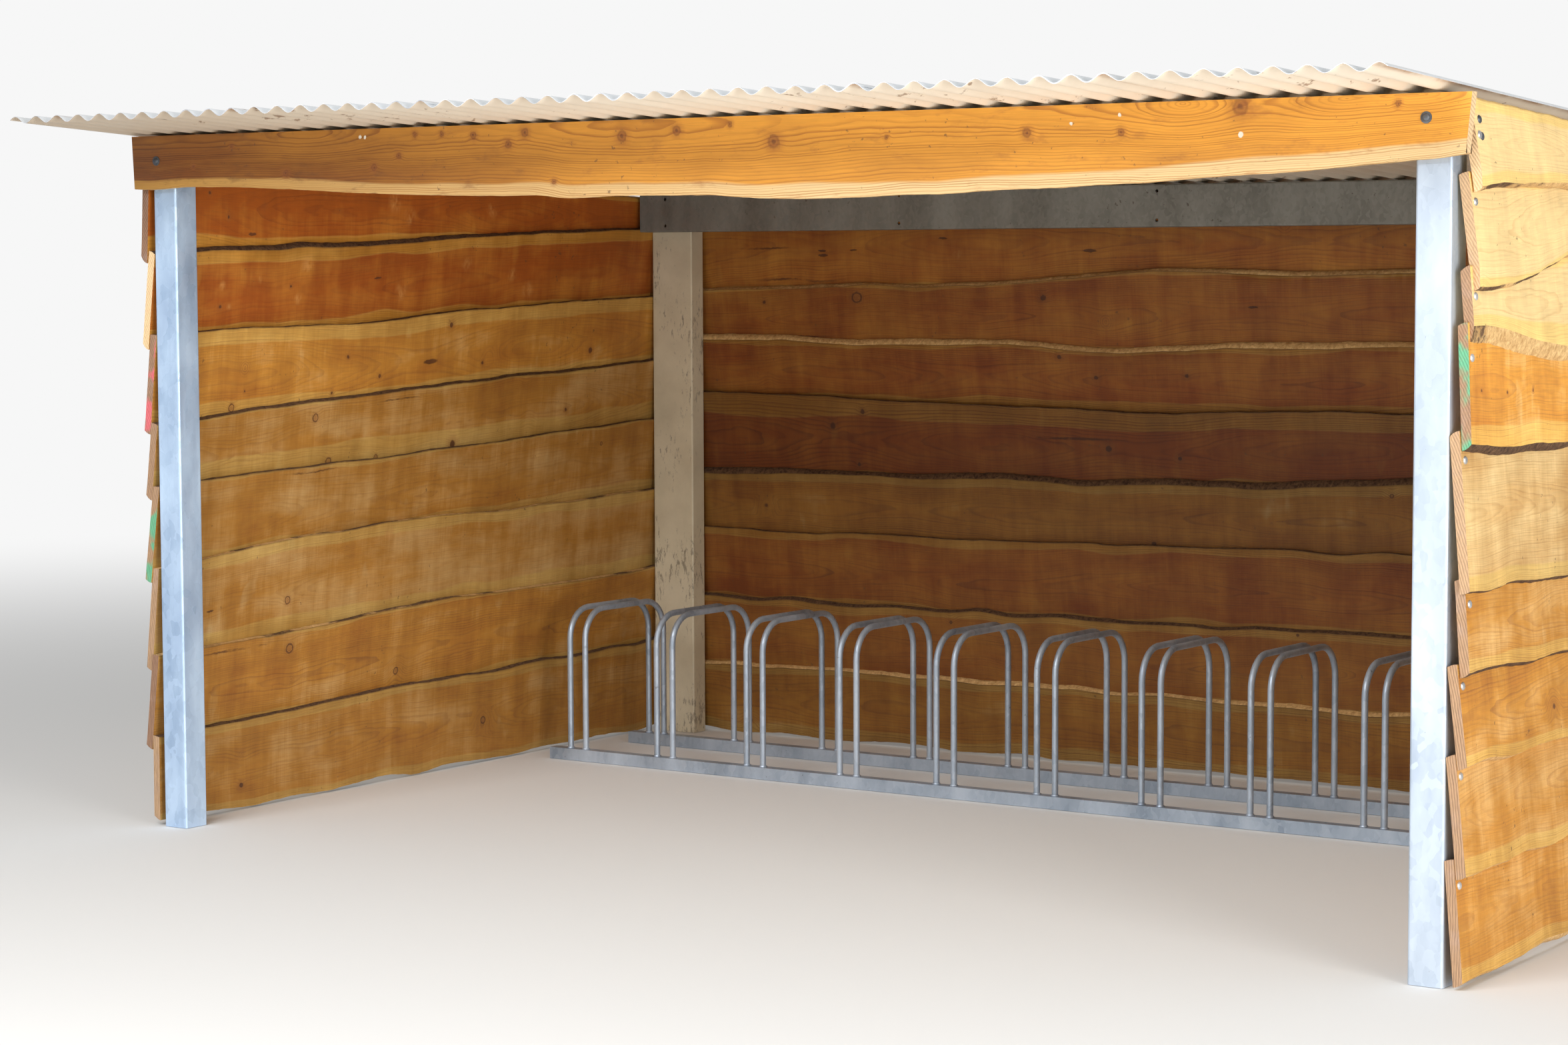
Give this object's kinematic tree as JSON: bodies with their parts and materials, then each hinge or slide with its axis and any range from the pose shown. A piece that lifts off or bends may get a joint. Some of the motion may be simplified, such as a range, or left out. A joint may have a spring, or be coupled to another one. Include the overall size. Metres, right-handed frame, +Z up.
{
  "type": "bike shelter",
  "caption": "Low open-fronted bike shelter: steel posts and beams, a corrugated mono-pitch roof, lapped live-edge board walls and a ground rack of wheel hoops.",
  "frame": {"origin": "on the ground, under the centre of the whole shelter's bounding box", "axes": "+X to the right seen from the open front, +Y in to the back wall, +Z up"},
  "size_m": [3.8637, 2.797, 1.897],
  "materials": {
    "galvanised_steel": "satin",
    "off_white_steel": "matte",
    "rack_steel": "satin",
    "roof_sheet": "satin",
    "fascia_wood": "matte",
    "wall_wood": "matte"
  },
  "bodies": {
    "root": {"front_left_post": "galvanised_steel", "front_right_post": "galvanised_steel", "front_beam": "galvanised_steel", "rear_beam": "galvanised_steel", "rear_left_post": "off_white_steel", "rear_right_post": "off_white_steel", "rack_front_rail": "rack_steel", "rack_rear_rail": "rack_steel", "fascia_board": "fascia_wood", "roof_sheet_1": "roof_sheet", "roof_sheet_2": "roof_sheet", "roof_sheet_3": "roof_sheet", "roof_sheet_4": "roof_sheet", "roof_sheet_5": "roof_sheet", "roof_sheet_6": "roof_sheet", "left_wall_board_1": "wall_wood", "left_wall_board_2": "wall_wood", "left_wall_board_3": "wall_wood", "left_wall_board_4": "wall_wood", "left_wall_board_5": "wall_wood", "left_wall_board_6": "wall_wood", "left_wall_board_7": "wall_wood", "left_wall_board_8": "wall_wood", "right_wall_board_1": "wall_wood", "right_wall_board_2": "wall_wood", "right_wall_board_3": "wall_wood", "right_wall_board_4": "wall_wood", "right_wall_board_5": "wall_wood", "right_wall_board_6": "wall_wood", "right_wall_board_7": "wall_wood", "right_wall_board_8": "wall_wood", "right_wall_board_9": "wall_wood", "back_wall_board_1": "wall_wood", "back_wall_board_2": "wall_wood", "back_wall_board_3": "wall_wood", "back_wall_board_4": "wall_wood", "back_wall_board_5": "wall_wood", "back_wall_board_6": "wall_wood", "back_wall_board_7": "wall_wood", "back_wall_board_8": "wall_wood", "rack_hoops_1": "rack_steel", "rack_hoops_2": "rack_steel", "rack_hoops_3": "rack_steel", "rack_hoops_4": "rack_steel", "rack_hoops_5": "rack_steel", "rack_hoops_6": "rack_steel"}
  },
  "joints": []
}
